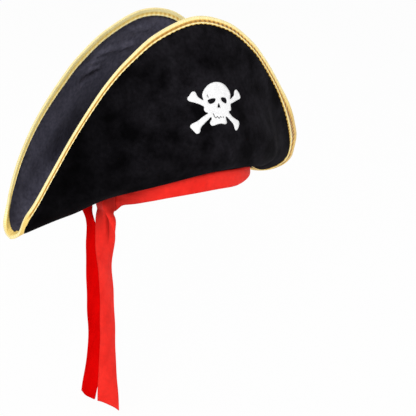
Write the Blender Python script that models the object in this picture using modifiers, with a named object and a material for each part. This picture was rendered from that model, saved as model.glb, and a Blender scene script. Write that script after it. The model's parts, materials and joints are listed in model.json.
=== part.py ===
# Pirate hat: velvet brim turned up front and back, gold bound edge, red sash with two tails
# Frame: origin at the centre of the head opening, X to the wearer's left, front faces -Y, Z up
import math

import bmesh
import bpy
import numpy as np
from mathutils import Vector
from mathutils.bvhtree import BVHTree

MM = 0.001

# Driving sizes in millimetres
CROWN_HALF_X = 102.0
CROWN_HALF_Y = 80.0
CROWN_SEAM_Z = 84.0
CROWN_TOP_Z = 100.0
CLOTH = 0.7
CROWN_CLOTH = 1.5
LINING_CLOTH = 0.8
CORE = 1.0
GAP = 0.3
BAND_HEIGHT = 20.5
BRIM_SEAM_Z = 27.0
RIBBON = 25.0
RIBBON_THICK = 1.0
TAIL_FRONT_LENGTH = 244.0
TAIL_REAR_LENGTH = 240.0
BRAID_WIDTH = 6.6
BRAID_WALL = 0.8
BRAID_EASE = 0.9
HALF_BRIM = CORE / 2 + GAP + CLOTH
EMBLEM_CENTRE = (3.7, 98.0)
EMBLEM_TILT = math.radians(-8.0)
EMBLEM_CLOTH = 0.5
EMBLEM_SCALE_X = 0.97
EMBLEM_SCALE_Z = 0.85
EMBLEM_SLANT = 0.14

# Brim stations from the wearer's right point to the left point
# seam: keel or crown seam, low: lowest line of the roll, fold: outermost line, edge: bound edge
STATIONS = 15
RING_FIRST = 5
RING_LAST = 11
RING_ANGLES = (0.0, 25.0, 55.0, 90.0, 125.0, 155.0, 180.0)
SEAM_HALF_X = 106.6
SEAM_HALF_Y = 82.4
KEEL_GAP = 0.25
KEEL_RIGHT = ((-207.5, -21), (-191, -16.5), (-169, -13.5), (-146, -7), (-124, 4))
KEEL_LEFT = ((114, 10), (121, -2), (128, -13))
LOW_FRONT = ((-207, -9, -18.5), (-191, -13, -14.5), (-170, -17, -10.3), (-148, -22.5, -5), (-131, -28, 1.5),
             (-118, -34, 7), (-101, -50, 14), (-63, -75, 23), (0, -88, 28), (63, -75, 18.5),
             (101, -50, 6), (113, -34, 0.5), (118, -27, -5), (128, -21, -10), (142, -16, -13))
FOLD_FRONT = ((-206, -15, -8), (-192, -22, -1), (-175, -30, 6), (-155, -38, 11), (-138, -45, 14),
              (-122, -52, 17.5), (-104, -61, 24.5), (-64, -80, 31.5), (0, -92, 36), (64, -80, 28),
              (103, -61, 15), (120, -49, 9.5), (134, -42, 4.5), (152, -34, 0), (174, -23, 0))
EDGE_FRONT = ((-204, -17, 0), (-195, -24, 16), (-178, -31.5, 46.5), (-156, -36.5, 80), (-134.5, -40, 108),
              (-113, -42, 131.5), (-87.5, -44, 153), (-50, -45.5, 175.5), (1, -46, 188), (47.5, -46, 177.5),
              (84.5, -45, 153.5), (108.5, -43.5, 129.5), (131, -41, 102), (157, -35.5, 66), (182, -23, 25))
EDGE_REAR = ((-203.8, 16, 1), (-195.5, 24, 16), (-178, 32.5, 45), (-155.5, 40, 74), (-134, 44, 98),
             (-112, 46, 120), (-87, 47, 142.5), (-49, 46, 168), (-1, 44, 186), (45, 44, 180.5),
             (85, 44, 153), (109, 43, 127.5), (132, 40.5, 99.5), (157.5, 35, 64.5), (182, 23, 24))
FLAP_BULGE = 5.0

# Emblem outline and cuts in millimetres, x to the viewer's right, z up, clockwise from the chin
EMBLEM_OUTLINE = (
    (-7.5, -24.2), (-10.2, -23.3), (-11.4, -20.1), (-9.1, -16.3), (-9.9, -13.6), (-13.2, -16.7),
    (-18.8, -21.8), (-22.9, -26.6), (-24.0, -31.6), (-25.5, -33.5), (-27.5, -34.1), (-29.4, -33.0),
    (-31.6, -30.6), (-33.8, -28.4), (-35.4, -26.2), (-34.8, -23.8), (-32.2, -21.8), (-29.0, -20.2),
    (-25.6, -18.2), (-19.0, -12.9), (-13.3, -9.4), (-16.3, -8.0), (-18.3, -5.4), (-18.4, -1.6),
    (-22.6, 0.5), (-26.6, 2.0), (-31.6, 3.2), (-36.0, 4.2), (-38.8, 6.4), (-38.4, 9.0),
    (-36.4, 11.6), (-35.0, 14.2), (-33.0, 16.0), (-30.4, 16.0), (-28.6, 14.0), (-27.2, 11.2),
    (-24.4, 8.6), (-18.8, 5.8), (-20.3, 10.5), (-20.0, 14.7), (-18.6, 18.2), (-16.2, 21.5),
    (-12.0, 25.2), (-6.0, 27.6), (0.0, 28.1), (6.2, 27.2), (12.0, 24.6), (16.6, 20.9),
    (19.8, 16.8), (21.6, 12.0), (20.8, 6.9), (24.8, 8.9), (28.2, 11.4), (29.2, 15.9),
    (30.9, 17.9), (33.1, 18.1), (35.4, 16.2), (37.9, 12.9), (39.6, 9.4), (38.7, 7.0),
    (32.2, 4.9), (25.6, 2.7), (20.9, 0.9), (21.0, -3.4), (20.4, -6.4), (16.8, -8.1),
    (21.7, -13.7), (26.8, -17.0), (31.2, -19.0), (33.1, -21.5), (32.7, -24.7), (30.7, -28.3),
    (28.5, -30.5), (26.5, -30.5), (25.0, -28.4), (24.0, -24.8), (21.0, -20.8), (11.8, -13.2),
    (11.6, -17.7), (12.3, -20.3), (10.2, -22.6), (4.0, -21.6), (-2.0, -22.5))
EYE_RIGHT = ((-13.4, 6.0), (-9.7, 7.8), (-4.0, 8.7), (-2.0, 7.2), (-4.0, 3.9), (-9.3, 1.7), (-12.2, 2.9))
EYE_LEFT = ((6.0, 8.9), (9.3, 9.6), (14.2, 8.0), (14.8, 3.8), (13.2, 1.9), (8.4, 3.9), (6.0, 6.4))
NOSE = ((2.0, 3.0), (4.4, -3.2), (2.2, -2.4), (-0.2, -2.6))
TEETH = ((-6.7, -9.5), (-5.5, -12.6), (-3.5, -15.1), (-1.3, -13.0), (1.1, -15.5), (3.6, -13.2), (4.8, -14.6))
TEETH_CUT = 1.1

# Lower edge of the red band every 30 degrees from the wearer's left, over the back to the right
BAND_LOW = (-4.0, 0.0, 2.0, 2.0, 1.0, -3.0, -9.0, -4.5, 2.8, 3.3, -3.2, -6.5)
BAND_TOP = 24.0
HEM = 0.8

# Tails from the hinge at the sewn top to the cut end, at steps that lengthen downwards
# turn: facing of the ribbon in degrees, drift: how far it swells out or in, lean: to the back at its end
TAIL_FRONT_HINGE = (-103.0, -18.0, -10.0)
TAIL_FRONT_TURN = (-88, -86, -64, -68, -86, -90, -87, -80, -48)
TAIL_FRONT_DRIFT = (0, 0, 0.6, -0.6, -2.0, 0.4, 0.7, -0.3, -2.1)
TAIL_FRONT_LEAN = 5.2
TAIL_REAR_HINGE = (-104.0, 13.5, -10.0)
TAIL_REAR_TURN = (-88, -94, -106, -104, -96, -86, -85, -82, -72)
TAIL_REAR_DRIFT = (0, 0, 0.5, 3.1, 1.8, 2.6, 1.0, -0.4, -10.9)
TAIL_REAR_LEAN = 0.0
TAIL_CURL = 2.4
TAIL_SLANT = 0.45

VELVET_BLACK = (0.011, 0.010, 0.013, 1.0)
VELVET_GREY = (0.040, 0.040, 0.056, 1.0)
STIFFENER = (0.03, 0.03, 0.03, 1.0)
GOLD = (0.75, 0.48, 0.11, 1.0)
RED = (0.62, 0.02, 0.02, 1.0)
WHITE = (0.85, 0.85, 0.85, 1.0)
LINING = (0.02, 0.02, 0.024, 1.0)

for leftover in list(bpy.data.objects):
    bpy.data.objects.remove(leftover, do_unlink=True)

hat = bpy.data.collections.new("pirate_hat")
bpy.context.scene.collection.children.link(hat)
materials = {}


def material(name, colour, roughness, metallic=0.0):
    if name not in materials:
        mat = bpy.data.materials.new(name)
        mat.use_nodes = True
        shader = mat.node_tree.nodes["Principled BSDF"]
        shader.inputs["Base Color"].default_value = colour
        shader.inputs["Roughness"].default_value = roughness
        shader.inputs["Metallic"].default_value = metallic
        materials[name] = mat
    return materials[name]


def new_object(name, vertices, faces, mat, origin=(0.0, 0.0, 0.0)):
    mesh = bpy.data.meshes.new(name)
    base = np.array(origin)
    points = [tuple((np.array(p) - base) * MM) for p in vertices]
    mesh.from_pydata(points, [], faces)
    work = bmesh.new()
    work.from_mesh(mesh)
    bmesh.ops.recalc_face_normals(work, faces=work.faces)
    work.to_mesh(mesh)
    work.free()
    mesh.materials.append(mat)
    obj = bpy.data.objects.new(name, mesh)
    obj.location = base * MM
    hat.objects.link(obj)
    return obj


def solidify(obj, thickness, offset):
    step = obj.modifiers.new("cloth thickness", "SOLIDIFY")
    step.thickness = thickness * MM
    step.offset = offset
    step.use_even_offset = True
    step.use_quality_normals = True
    return step


def smooth_curve(points):
    knots = np.array(points, float)
    slopes = np.gradient(knots, axis=0)

    def value(t):
        t = np.clip(np.asarray(t, float), 0, len(knots) - 1)
        i = np.minimum(t.astype(int), len(knots) - 2)
        f = (t - i)[..., None]
        h00 = 2 * f ** 3 - 3 * f ** 2 + 1
        h10 = f ** 3 - 2 * f ** 2 + f
        h01 = -2 * f ** 3 + 3 * f ** 2
        h11 = f ** 3 - f ** 2
        return h00 * knots[i] + h10 * slopes[i] + h01 * knots[i + 1] + h11 * slopes[i + 1]
    return value


class BrimHalf:
    """One turned-up half of the brim as a surface of station t and height u."""

    def __init__(self, side, edge):
        self.side = side
        mirror = np.array((1.0, -side, 1.0))
        self.low = smooth_curve(np.array(LOW_FRONT) * mirror)
        self.fold = smooth_curve(np.array(FOLD_FRONT) * mirror)
        self.edge = smooth_curve(edge)
        self.angle = smooth_curve([(a,) for a in RING_ANGLES])
        seam_point = (-SEAM_HALF_X, BRIM_SEAM_Z)
        self.keel_right = smooth_curve(KEEL_RIGHT + (seam_point,))
        self.keel_left = smooth_curve(((SEAM_HALF_X, BRIM_SEAM_Z),) + KEEL_LEFT)

    def seam(self, t):
        t = np.asarray(t, float)
        phi = np.radians(self.angle(np.clip(t - RING_FIRST, 0, 6))[..., 0])
        phi = np.clip(phi, 0, np.pi)
        ring = np.stack([-SEAM_HALF_X * np.cos(phi), self.side * SEAM_HALF_Y * np.sin(phi),
                         np.full(t.shape, BRIM_SEAM_Z)], -1)
        out = np.stack([-np.cos(phi) / SEAM_HALF_X, self.side * np.sin(phi) / SEAM_HALF_Y,
                        np.zeros(t.shape)], -1)
        right = self.keel_right(t)
        left = self.keel_left(t - RING_LAST)
        keel_side = np.full(t.shape, self.side * KEEL_GAP)
        before = np.stack([right[..., 0], keel_side, right[..., 1]], -1)
        after = np.stack([left[..., 0], keel_side, left[..., 1]], -1)
        across = np.zeros(t.shape + (3,))
        across[..., 1] = self.side
        on_right = (t < RING_FIRST)[..., None]
        on_left = (t > RING_LAST)[..., None]
        point = np.where(on_right, before, np.where(on_left, after, ring))
        out = out / np.linalg.norm(out, axis=-1, keepdims=True)
        near = np.clip(np.minimum(t - RING_FIRST, RING_LAST - t), 0, 1)[..., None]
        away = out * near + across * (1 - near)
        away = np.where(on_right | on_left, across, away)
        return point, away / np.linalg.norm(away, axis=-1, keepdims=True)

    def point(self, t, u):
        t, u = np.broadcast_arrays(np.asarray(t, float), np.asarray(u, float))
        seam, away = self.seam(t)
        low = self.low(t)
        fold = self.fold(t)
        edge = self.edge(t)
        middle = 0.5 * (fold + edge)
        middle[..., 1] += self.side * FLAP_BULGE * np.clip((edge - fold)[..., 2] / 150, 0, 1)
        knots = np.stack([seam, low, fold, middle, edge])
        steps = np.linalg.norm(np.diff(knots, axis=0), axis=-1)[..., None]
        rates = np.diff(knots, axis=0) / steps
        slopes = [away]
        for k in (1, 2, 3):
            slopes.append((rates[k - 1] * steps[k] + rates[k] * steps[k - 1]) / (steps[k] + steps[k - 1]))
        slopes.append(2 * rates[3] - slopes[3])
        result = np.zeros(t.shape + (3,))
        span = np.clip(u.astype(int), 0, 3)
        for k in range(4):
            f = (u - k)[..., None]
            h = steps[k]
            value = ((2 * f ** 3 - 3 * f ** 2 + 1) * knots[k] + (f ** 3 - 2 * f ** 2 + f) * h * slopes[k]
                     + (3 * f ** 2 - 2 * f ** 3) * knots[k + 1] + (f ** 3 - f ** 2) * h * slopes[k + 1])
            result = np.where((span == k)[..., None], value, result)
        return result

    def height_from_edge(self, t, distance):
        """Height u of the line that runs the given distance inside the edge, measured square to the edge."""
        u = np.linspace(4, 0, 161)
        line = self.point(float(t), u)
        ahead = self.edge(min(t + 0.1, STATIONS - 1.0)) - self.edge(max(t - 0.1, 0.0))
        ahead /= np.linalg.norm(ahead)
        down = line[8] - line[0]
        down /= np.linalg.norm(down)
        square = max(np.linalg.norm(np.cross(ahead, down)), 0.45)
        run = np.linalg.norm(np.diff(line, axis=0), axis=-1) * square
        return float(np.interp(distance, np.concatenate([[0.0], np.cumsum(run)]), u))

    def normal(self, t, u):
        t, u = np.broadcast_arrays(np.asarray(t, float), np.asarray(u, float))
        dt = 0.04
        du = 0.04
        along = self.point(np.minimum(t + dt, STATIONS - 1), u) - self.point(np.maximum(t - dt, 0), u)
        up = self.point(t, np.minimum(u + du, 4)) - self.point(t, np.maximum(u - du, 0))
        out = np.cross(along, up) * -self.side
        return out / np.linalg.norm(out, axis=-1, keepdims=True)

    def offset(self, t, u, distance):
        reach = np.broadcast_to(np.asarray(distance, float), np.shape(t))[..., None]
        place = self.point(t, u) + self.normal(t, u) * reach
        if self.side < 0:
            place[..., 1] = np.minimum(place[..., 1], -KEEL_GAP)
        else:
            place[..., 1] = np.maximum(place[..., 1], KEEL_GAP)
        return place

    def on_cloth(self, t, u, distance):
        """Point on the flat facets between the grid lines, as the cloth layers are built."""
        i = np.clip(np.searchsorted(T_LINES, t, side="right") - 1, 0, len(T_LINES) - 2)
        j = np.clip(np.searchsorted(U_LINES, u, side="right") - 1, 0, len(U_LINES) - 2)
        a = ((t - T_LINES[i]) / (T_LINES[i + 1] - T_LINES[i]))[:, None]
        b = ((u - U_LINES[j]) / (U_LINES[j + 1] - U_LINES[j]))[:, None]
        low = (1 - b) * self.offset(T_LINES[i], U_LINES[j], distance)
        low = low + b * self.offset(T_LINES[i], U_LINES[j + 1], distance)
        high = (1 - b) * self.offset(T_LINES[i + 1], U_LINES[j], distance)
        high = high + b * self.offset(T_LINES[i + 1], U_LINES[j + 1], distance)
        return (1 - a) * low + a * high


T_LINES = np.concatenate([np.arange(0, 5, 0.5), np.arange(5, 10.9, 1 / 3), np.array((11, 11.5, 12)),
                          np.array((12.4, 12.8, 13.2, 13.5, 13.75, 14.0))])
U_LINES = np.array((0, 0.5, 1, 1.33, 1.67, 2, 2.5, 3, 3.5, 4))


def brim_layer(name, half, low, high, mat):
    t, u = np.meshgrid(T_LINES, U_LINES, indexing="ij")
    rows, columns = t.shape
    outer = half.offset(t, u, high).reshape(-1, 3)
    inner = half.offset(t, u, low).reshape(-1, 3)
    count = rows * columns
    faces = []
    for i in range(rows - 1):
        for j in range(columns - 1):
            a = i * columns + j
            b = a + columns
            faces.append((a, b, b + 1, a + 1))
            faces.append((count + a, count + a + 1, count + b + 1, count + b))
    rim = [i * columns for i in range(rows)]
    rim += [(rows - 1) * columns + j for j in range(1, columns)]
    rim += [i * columns + columns - 1 for i in range(rows - 2, -1, -1)]
    rim += [j for j in range(columns - 2, 0, -1)]
    for a, b in zip(rim, rim[1:] + rim[:1]):
        faces.append((a, b, count + b, count + a))
    return new_object(name, list(outer) + list(inner), faces, mat)


def edge_path(half):
    """Edge and inner border of the binding as (t, u) pairs, from the right keel to the left keel."""
    last = STATIONS - 1.0
    heights = U_LINES[:-1]
    lines = T_LINES[1:-1]
    outer = []
    inner = []
    corners = []
    for end, inside in ((0.0, 0.25), (last, last - 0.12)):
        rate = np.linalg.norm(half.point(inside, 4.0) - half.point(end, 4.0)) / abs(inside - end)
        corners.append(BRAID_WIDTH / rate)

    def end_rows(end, inside, order):
        drop = 4 - half.height_from_edge(end, BRAID_WIDTH)
        for u in order:
            rate = np.linalg.norm(half.point(inside, u) - half.point(end, u)) / abs(inside - end)
            step = min(BRAID_WIDTH / rate, 0.8)
            outer.append((end, u))
            inner.append((abs(end - step), u - drop * max(0.0, 1 - (4 - u) / 3.5)))

    def corner(end, shift):
        outer.append((end, 4.0))
        inner.append((abs(end - shift), half.height_from_edge(abs(end - shift), BRAID_WIDTH)))

    end_rows(0.0, 0.25, heights)
    corner(0.0, corners[0])
    for t in lines:
        shift = corners[0] * max(0.0, 1 - t / (3 * corners[0]))
        shift -= corners[1] * max(0.0, 1 - (last - t) / (3 * corners[1]))
        outer.append((t, 4.0))
        inner.append((t + shift, half.height_from_edge(t + shift, BRAID_WIDTH)))
    corner(last, corners[1])
    end_rows(last, last - 0.12, heights[::-1])
    return np.array(outer), np.array(inner)


def braid_sections(half):
    outer, inner = edge_path(half)
    middle = 0.5 * (outer + inner)
    at_end = (outer[:, 1] < 4) | (outer[:, 0] < 0.8)
    near = HALF_BRIM + GAP + BRAID_EASE * at_end * (1 + (outer[:, 0] > RING_LAST))
    far = near + BRAID_WALL
    edge = half.on_cloth(outer[:, 0], outer[:, 1], 0.0)
    inward = half.on_cloth(middle[:, 0], middle[:, 1], 0.0) - edge
    along = np.gradient(edge, axis=0)
    along /= np.linalg.norm(along, axis=-1, keepdims=True)
    inward -= along * (inward * along).sum(-1, keepdims=True)
    inward /= np.linalg.norm(inward, axis=-1, keepdims=True)
    lip = (GAP + 0.3 + BRAID_EASE * at_end)[:, None]
    cap = lip + BRAID_WALL

    def skin(path, level):
        return half.on_cloth(path[:, 0], path[:, 1], level)

    loop = [skin(inner, far), skin(middle, far), skin(outer, far) - inward * lip,
            skin(outer, near * 0.7) - inward * cap, skin(outer, -near * 0.7) - inward * cap,
            skin(outer, -far) - inward * lip, skin(middle, -far), skin(inner, -far),
            skin(inner, -near), skin(middle, -near), skin(outer, -near) - inward * lip,
            skin(outer, near) - inward * lip, skin(middle, near), skin(inner, near)]
    return np.stack(loop, axis=1)


def edge_braid(front, rear, mat):
    sections = np.concatenate([braid_sections(front), braid_sections(rear)[::-1]])
    count, size = sections.shape[:2]
    faces = []
    for i in range(count):
        k = (i + 1) % count
        for j in range(size):
            m = (j + 1) % size
            faces.append((i * size + j, k * size + j, k * size + m, i * size + m))
    return new_object("edge_braid", sections.reshape(-1, 3), faces, mat)


SEGMENTS = 44


def band_lower_edge(k):
    """Height of the red band's lower edge at step k around the head."""
    low = smooth_curve([(z,) for z in BAND_LOW[-2:] + BAND_LOW + BAND_LOW[:3]])
    return float(low(2 + 12 * k / SEGMENTS)[0])


def oval_wall(name, levels, thickness, mat, inset=0.0, closed_top=None):
    """Cloth wall around the head, hemmed above the band's edge; levels are (z, scale) of its outer face."""
    vertices = []
    for z, scale in levels:
        for k in range(SEGMENTS):
            a = 2 * math.pi * k / SEGMENTS
            vertices.append(((CROWN_HALF_X - inset) * scale * math.cos(a),
                             (CROWN_HALF_Y - inset) * scale * math.sin(a), max(z, band_lower_edge(k) + HEM)))
    faces = []
    for i in range(len(levels) - 1):
        for k in range(SEGMENTS):
            m = (k + 1) % SEGMENTS
            faces.append((i * SEGMENTS + k, i * SEGMENTS + m, (i + 1) * SEGMENTS + m, (i + 1) * SEGMENTS + k))
    if closed_top is not None:
        vertices.append((0, 0, closed_top))
        start = (len(levels) - 1) * SEGMENTS
        for k in range(SEGMENTS):
            faces.append((start + k, start + (k + 1) % SEGMENTS, len(vertices) - 1))
    obj = new_object(name, vertices, faces, mat)
    upright = obj.data.polygons[0]
    outward = upright.normal.x * upright.center.x + upright.normal.y * upright.center.y
    if outward < 0:
        obj.data.flip_normals()
    solidify(obj, thickness, -1.0)
    return obj


def band_wall(name, inset, thickness, mat):
    """Ribbon around the head whose lower edge dips towards the tails."""
    vertices = []
    for k in range(SEGMENTS):
        a = 2 * math.pi * k / SEGMENTS
        start = band_lower_edge(k)
        stop = min(BAND_TOP, start + BAND_HEIGHT)
        for level in (start, 0.5 * (start + stop), stop):
            vertices.append(((CROWN_HALF_X + inset) * math.cos(a),
                             (CROWN_HALF_Y + inset) * math.sin(a), level))
    faces = []
    for k in range(SEGMENTS):
        m = (k + 1) % SEGMENTS
        for j in range(2):
            faces.append((k * 3 + j, m * 3 + j, m * 3 + j + 1, k * 3 + j + 1))
    obj = new_object(name, vertices, faces, mat)
    first = obj.data.polygons[0]
    if first.normal.x * first.center.x + first.normal.y * first.center.y < 0:
        obj.data.flip_normals()
    solidify(obj, thickness, 1.0)
    return obj


def ring_arc(name, start, stop, steps, inset, thickness, low, high, mat):
    vertices = []
    for k in range(steps + 1):
        a = math.radians(start + (stop - start) * k / steps)
        for reach, z in ((inset, low), (inset + thickness * 0.7, low), (inset + thickness, (low + high) / 2),
                         (inset + thickness * 0.7, high), (inset, high)):
            vertices.append(((CROWN_HALF_X + reach) * math.cos(a), (CROWN_HALF_Y + reach) * math.sin(a), z))
    faces = []
    for k in range(steps):
        for j in range(5):
            m = (j + 1) % 5
            faces.append((k * 5 + j, (k + 1) * 5 + j, (k + 1) * 5 + m, k * 5 + m))
    faces.append(tuple(range(4, -1, -1)))
    faces.append(tuple(steps * 5 + j for j in range(5)))
    return new_object(name, vertices, faces, mat)


def stroke(points, width):
    """Outline of a thin cut that follows a line of points."""
    line = np.array(points)
    ahead = np.gradient(line, axis=0)
    side = np.stack([-ahead[:, 1], ahead[:, 0]], -1)
    side *= 0.5 * width / np.linalg.norm(side, axis=-1, keepdims=True)
    return np.concatenate([line + side, (line - side)[::-1]])


def emblem(shell, mat):
    """Skull and crossed bones cut from one thin cloth and laid on the front flap."""
    curve = bpy.data.curves.new("emblem_outline", "CURVE")
    curve.dimensions = "2D"
    curve.fill_mode = "FRONT"
    for outline in (EMBLEM_OUTLINE, EYE_RIGHT, EYE_LEFT, NOSE, stroke(TEETH, TEETH_CUT)):
        spline = curve.splines.new("POLY")
        spline.points.add(len(outline) - 1)
        spline.use_cyclic_u = True
        for k, (x, z) in enumerate(outline):
            spline.points[k].co = (x, z, 0.0, 1.0)
    drawing = bpy.data.objects.new("emblem_outline", curve)
    hat.objects.link(drawing)
    flat = bpy.data.meshes.new_from_object(drawing)
    bpy.data.objects.remove(drawing, do_unlink=True)
    work = bmesh.new()
    work.from_mesh(flat)
    bmesh.ops.remove_doubles(work, verts=work.verts, dist=0.0001)
    bmesh.ops.triangulate(work, faces=work.faces)
    for limit in (16.0, 9.0):
        long_edges = [e for e in work.edges if e.calc_length() > limit]
        bmesh.ops.subdivide_edges(work, edges=long_edges, cuts=1)
        bmesh.ops.triangulate(work, faces=work.faces)
    tree = BVHTree.FromObject(shell, bpy.context.evaluated_depsgraph_get())
    cosine = math.cos(EMBLEM_TILT)
    sine = math.sin(EMBLEM_TILT)
    for vertex in work.verts:
        up = vertex.co.y * EMBLEM_SCALE_Z
        across = vertex.co.x * EMBLEM_SCALE_X + up * EMBLEM_SLANT
        x = EMBLEM_CENTRE[0] + across * cosine - up * sine
        z = EMBLEM_CENTRE[1] + across * sine + up * cosine
        hit, normal, _, _ = tree.ray_cast(Vector((x * MM, -0.3, z * MM)), Vector((0, 1, 0)))
        vertex.co = (hit + normal * (GAP + 0.3) * MM) / MM
    bmesh.ops.recalc_face_normals(work, faces=work.faces)
    vertices = [tuple(v.co) for v in work.verts]
    work.verts.index_update()
    faces = [tuple(v.index for v in f.verts) for f in work.faces]
    work.free()
    obj = new_object("skull_emblem", vertices, faces, mat)
    if obj.data.polygons[0].normal.y > 0:
        obj.data.flip_normals()
    solidify(obj, EMBLEM_CLOTH, 1.0)
    return obj


def tail(name, hinge, length, turns, drifts, curl, lean, mat):
    """Ribbon end hanging from its sewn top; its folds balance about the hinge."""
    across = 6
    down = 22
    rows, columns = np.meshgrid(np.arange(down + 1), np.arange(across + 1), indexing="ij")
    share = (columns / across - 0.5).ravel()
    reach = rows.ravel() / down
    w = RIBBON * share
    s = (length + TAIL_SLANT * w) * reach
    step = (len(turns) - 1) * np.sqrt(reach)
    turn = np.radians(smooth_curve([(t,) for t in turns])(step)[:, 0])
    out = curl * ((2 * share) ** 2 - 0.33) * np.clip(reach * 5, 0, 1)
    x = smooth_curve([(d,) for d in drifts])(step)[:, 0] + w * np.cos(turn) + out * np.sin(turn)
    y = lean * reach + w * np.sin(turn) - out * np.cos(turn)
    x -= s * x.sum() / s.sum()
    faces = []
    for i in range(down):
        for j in range(across):
            a = i * (across + 1) + j
            faces.append((a, a + 1, a + across + 2, a + across + 1))
    obj = new_object(name, np.array(hinge) + np.stack([x, y, -s], -1), faces, mat, hinge)
    solidify(obj, RIBBON_THICK, 0.0)
    return obj


front = BrimHalf(-1, EDGE_FRONT)
rear = BrimHalf(1, EDGE_REAR)

shell_low = CORE / 2 + GAP
shell_high = shell_low + CLOTH
black = material("velvet_black", VELVET_BLACK, 0.9)
grey = material("velvet_facing", VELVET_GREY, 0.9)
stiff = material("stiffener_felt", STIFFENER, 0.95)
gold = material("gold_braid", GOLD, 0.35, 0.6)
red = material("red_velvet", RED, 0.8)
white = material("white_print", WHITE, 0.6)
dark = material("lining_cloth", LINING, 0.7)

front_shell = brim_layer("brim_front_shell", front, shell_low, shell_high, black)
brim_layer("brim_front_core", front, -CORE / 2, CORE / 2, stiff)
brim_layer("brim_front_facing", front, -shell_high, -shell_low, grey)
brim_layer("brim_rear_shell", rear, shell_low, shell_high, black)
brim_layer("brim_rear_core", rear, -CORE / 2, CORE / 2, stiff)
brim_layer("brim_rear_facing", rear, -shell_high, -shell_low, grey)
edge_braid(front, rear, gold)

side_levels = ((HEM, 1.0), (28, 1.0), (45, 0.99), (60, 0.975), (73, 0.95), (CROWN_SEAM_Z, 0.915))
oval_wall("crown_side", side_levels, CROWN_CLOTH, black)
top_levels = ((CROWN_SEAM_Z + 0.6, 0.905), (90.5, 0.84), (95.0, 0.70), (98.2, 0.48), (99.6, 0.24))
oval_wall("crown_top", top_levels, CROWN_CLOTH, black, 0.0, CROWN_TOP_Z)
lining_levels = ((23.0, 1.0), (45, 0.988), (60, 0.972), (72, 0.945), (81.5, 0.905), (86.5, 0.84),
                 (91.0, 0.70), (94.2, 0.48), (95.6, 0.24))
oval_wall("crown_lining", lining_levels, LINING_CLOTH, dark, CROWN_CLOTH + GAP + 0.3, 96.0)
oval_wall("sweatband", ((HEM, 1.0), (22.3, 1.0)), CLOTH, dark, CROWN_CLOTH + GAP)
band_wall("headband", GAP + 0.1, CLOTH, red)
ring_arc("sash_fold", 160, 202, 14, GAP * 2 + 0.1 + CLOTH, 2.4, -8.6, 5.0, red)

tail("tail_front", TAIL_FRONT_HINGE, TAIL_FRONT_LENGTH, TAIL_FRONT_TURN, TAIL_FRONT_DRIFT,
     TAIL_CURL, TAIL_FRONT_LEAN, red)
tail("tail_rear", TAIL_REAR_HINGE, TAIL_REAR_LENGTH, TAIL_REAR_TURN, TAIL_REAR_DRIFT,
     -TAIL_CURL, TAIL_REAR_LEAN, red)
bpy.context.view_layer.update()
emblem(front_shell, white)
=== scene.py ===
# Pirate hat: velvet, gold braid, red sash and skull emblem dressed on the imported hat
import json
import math

import bmesh
import bpy
import numpy as np
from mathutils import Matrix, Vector
from mathutils.bvhtree import BVHTree

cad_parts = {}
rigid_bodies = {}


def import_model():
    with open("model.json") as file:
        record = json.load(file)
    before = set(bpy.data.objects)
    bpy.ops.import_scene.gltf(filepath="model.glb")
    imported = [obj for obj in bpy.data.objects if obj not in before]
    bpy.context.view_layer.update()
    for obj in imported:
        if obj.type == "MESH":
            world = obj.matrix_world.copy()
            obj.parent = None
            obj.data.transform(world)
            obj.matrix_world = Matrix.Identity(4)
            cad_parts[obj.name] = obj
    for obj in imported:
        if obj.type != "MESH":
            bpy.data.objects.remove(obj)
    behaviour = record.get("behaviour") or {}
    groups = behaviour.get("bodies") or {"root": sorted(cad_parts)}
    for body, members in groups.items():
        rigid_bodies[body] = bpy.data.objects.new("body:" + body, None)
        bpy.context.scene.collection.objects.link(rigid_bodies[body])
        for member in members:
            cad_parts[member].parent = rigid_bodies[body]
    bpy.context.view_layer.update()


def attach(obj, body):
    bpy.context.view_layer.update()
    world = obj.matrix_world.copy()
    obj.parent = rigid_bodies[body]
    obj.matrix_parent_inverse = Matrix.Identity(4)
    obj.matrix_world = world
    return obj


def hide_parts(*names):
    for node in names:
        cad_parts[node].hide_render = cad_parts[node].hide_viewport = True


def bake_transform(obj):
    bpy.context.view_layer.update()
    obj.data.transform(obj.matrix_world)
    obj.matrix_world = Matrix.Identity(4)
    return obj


for leftover in list(bpy.data.objects):
    bpy.data.objects.remove(leftover, do_unlink=True)
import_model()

MM = 0.001

# Brim of the part in millimetres, at stations from the wearer's right point to the left point
# Height u on it: 0 at the crown seam, 1 at the lowest line, 2 at the outermost line, EDGE_U at the bound edge
STATIONS = 15
LAST = STATIONS - 1
EDGE_U = 4
RING_FIRST = 5
RING_LAST = 11
RING_ANGLES = (0.0, 25.0, 55.0, 90.0, 125.0, 155.0, 180.0)
SEAM_HALF_X = 106.6
SEAM_HALF_Y = 82.4
BRIM_SEAM_Z = 27.0
KEEL_GAP = -0.1
FLAP_BULGE = 5.0
BULGE_FULL = 150.0
# Half thickness inside and at the bound edge, and the spans of u and t in which the flap thins
HALF_BRIM = 1.5
EDGE_HALF = 0.8
THIN_TOP = 0.3
THIN_NEAR = 0.6
THIN_FAR = 0.3
KEEL_RIGHT = ((-207.5, -21), (-191, -16.5), (-169, -13.5), (-146, -7), (-124, 4))
KEEL_LEFT = ((114, 10), (121, -2), (128, -13))
LOW_FRONT = ((-207, -9, -18.5), (-191, -13, -14.5), (-170, -17, -10.3), (-148, -22.5, -5), (-131, -28, 1.5),
             (-118, -34, 7), (-101, -50, 14), (-63, -75, 23), (0, -88, 28), (63, -75, 18.5),
             (101, -50, 6), (113, -34, 0.5), (118, -27, -5), (128, -21, -10), (142, -16, -13))
FOLD_FRONT = ((-206, -15, -8), (-192, -22, -1), (-175, -30, 6), (-155, -38, 11), (-138, -45, 14),
              (-122, -52, 17.5), (-104, -61, 24.5), (-64, -80, 31.5), (0, -92, 36), (64, -80, 28),
              (103, -61, 15), (120, -49, 9.5), (134, -42, 4.5), (152, -34, 0), (174, -23, 0))
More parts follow.
